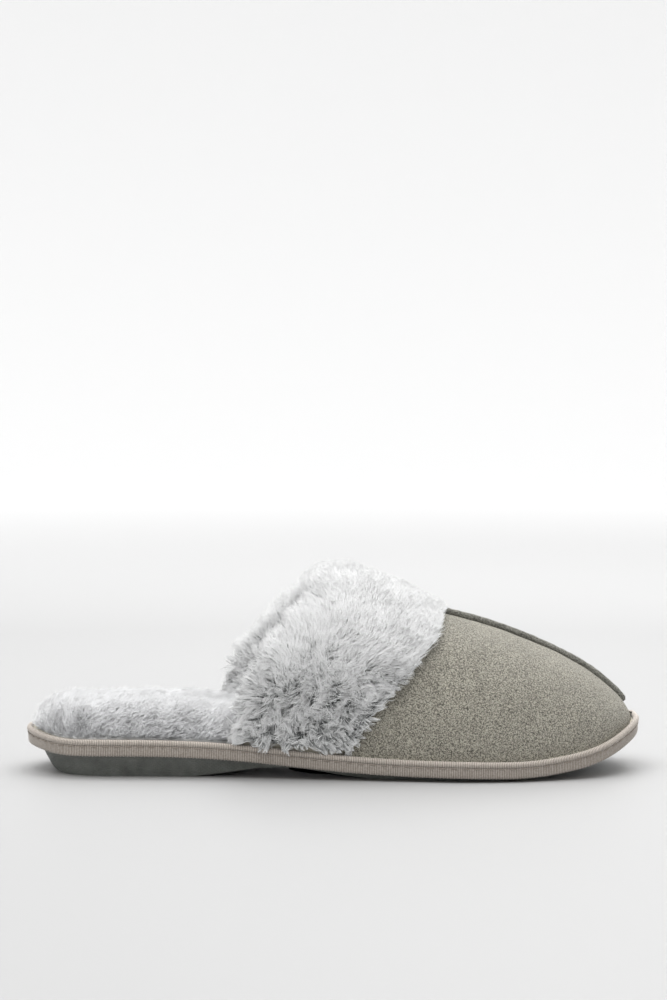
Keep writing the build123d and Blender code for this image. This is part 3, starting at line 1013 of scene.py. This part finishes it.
def sky():
    """White studio sky, bright from above and behind and dim from the front."""
    world = bpy.data.worlds.new("studio")
    bpy.context.scene.world = world
    world.use_nodes = True
    nodes, links = world.node_tree.nodes, world.node_tree.links
    background = nodes["Background"]
    background.inputs["Color"].default_value = (1.0, 1.0, 1.0, 1)
    place = nodes.new("ShaderNodeTexCoord")
    towards = nodes.new("ShaderNodeVectorMath")
    towards.operation = "DOT_PRODUCT"
    towards.inputs[1].default_value = (0.1, 0.45, 0.88)
    links.new(place.outputs["Generated"], towards.inputs[0])
    level = nodes.new("ShaderNodeMapRange")
    level.inputs["From Min"].default_value = -0.4
    level.inputs["From Max"].default_value = 0.9
    level.inputs["To Min"].default_value = SKY_FRONT
    level.inputs["To Max"].default_value = SKY_TOP
    links.new(towards.outputs["Value"], level.inputs["Value"])
    links.new(level.outputs["Result"], background.inputs["Strength"])


def lights():
    softbox("top_softbox", (0.1, 0.2, 1.15), (0, 0, 0), (1.2, 0.9), 8.0)
    softbox("back_softbox", (0.25, 0.95, 0.85), (0, 0, 0.02), (0.6, 0.5), 3.0)
    softbox("front_fill", (-0.35, -0.75, 1.2), (0, 0, 0.02), (0.9, 0.6), 6.5)
    softbox("wall_light", (0, 1.0, 2.3), (0, 4.0, 0.7), (4.0, 1.0), 36.0)


def camera():
    """Long lens on the slipper's outer side, a little above it."""
    data = bpy.data.cameras.new("camera")
    data.lens = LENS
    data.sensor_width = SENSOR
    o = bpy.data.objects.new("camera", data)
    e = math.radians(VIEW_ELEVATION)
    centre = np.array([(cad_low.x + cad_high.x) / 2, (cad_low.y + cad_high.y) / 2, 0.0])
    o.location = centre + np.array([0, -math.cos(e), math.sin(e)]) * VIEW_DISTANCE
    o.rotation_euler = (math.pi / 2 - math.radians(VIEW_PITCH), 0, 0)
    bpy.context.scene.collection.objects.link(o)
    bpy.context.scene.camera = o
    bpy.context.scene.view_settings.view_transform = "Standard"


# Slipper -----------------------------------------------------------------------------------------


def paint(mat, *nodes):
    """A better material on CAD nodes that stay as they are."""
    for node in nodes:
        for s in bpy.data.objects[node].material_slots:
            s.material = mat


def inner_parts():
    """Materials of the sole and of the layers inside, which stay as CAD."""
    foam = plain_fabric("foam", (0.62, 0.58, 0.48), (0.74, 0.70, 0.60), 900)
    cotton = plain_fabric("cotton_cord", (0.58, 0.57, 0.54), (0.72, 0.71, 0.68), 1500)
    board = plain_fabric("board", (0.30, 0.23, 0.15), (0.40, 0.32, 0.22), 300)
    thread = plain_fabric("thread", (0.22, 0.19, 0.16), (0.36, 0.32, 0.28), 2500)
    paint(rubber_material(), "outsole")
    paint(foam, "heel_wedge", "insole_foam", "vamp_foam_lateral", "vamp_foam_medial")
    paint(board, "insole_board")
    paint(cotton, "welt_piping_cord", "centre_piping_cord", "throat_tape")
    paint(thread, "welt_stitches")


def soft_parts():
    tape = tape_material()
    plush_fur = fur_material(
        "plush_pile", ((0.70, 0.71, 0.72), (0.90, 0.91, 0.92)),
        ((0.90, 0.91, 0.92), (0.96, 0.965, 0.97)), ((0.94, 0.945, 0.955), (0.97, 0.975, 0.98)),
    )
    cuff_fur = fur_material(
        "frosted_pile", ((0.03, 0.034, 0.031), (0.70, 0.715, 0.71)),
        ((0.22, 0.235, 0.23), (0.92, 0.925, 0.92)), ((0.97, 0.975, 0.97), (0.96, 0.965, 0.96)),
    )
    plush_base = plain_fabric("plush_backing", (0.86, 0.87, 0.88), (0.94, 0.945, 0.95), 500)
    cuff_base = plain_fabric("fur_backing", (0.14, 0.15, 0.145), (0.24, 0.25, 0.245), 500)
    edge_tape(tape)
    welt_piping(tape)
    vamp_panels(suede("faux_suede", (0.075, 0.07, 0.057), (0.60, 0.57, 0.475), 0.35))
    centre_piping(suede("piping_suede", (0.06, 0.06, 0.05), (0.36, 0.355, 0.31), 0.4))
    insole(plush_base, plush_fur)
    cuff(cuff_base, cuff_fur)
    lining(plush_base, plush_fur)


soft_parts()
inner_parts()
backdrop()
sky()
lights()
camera()
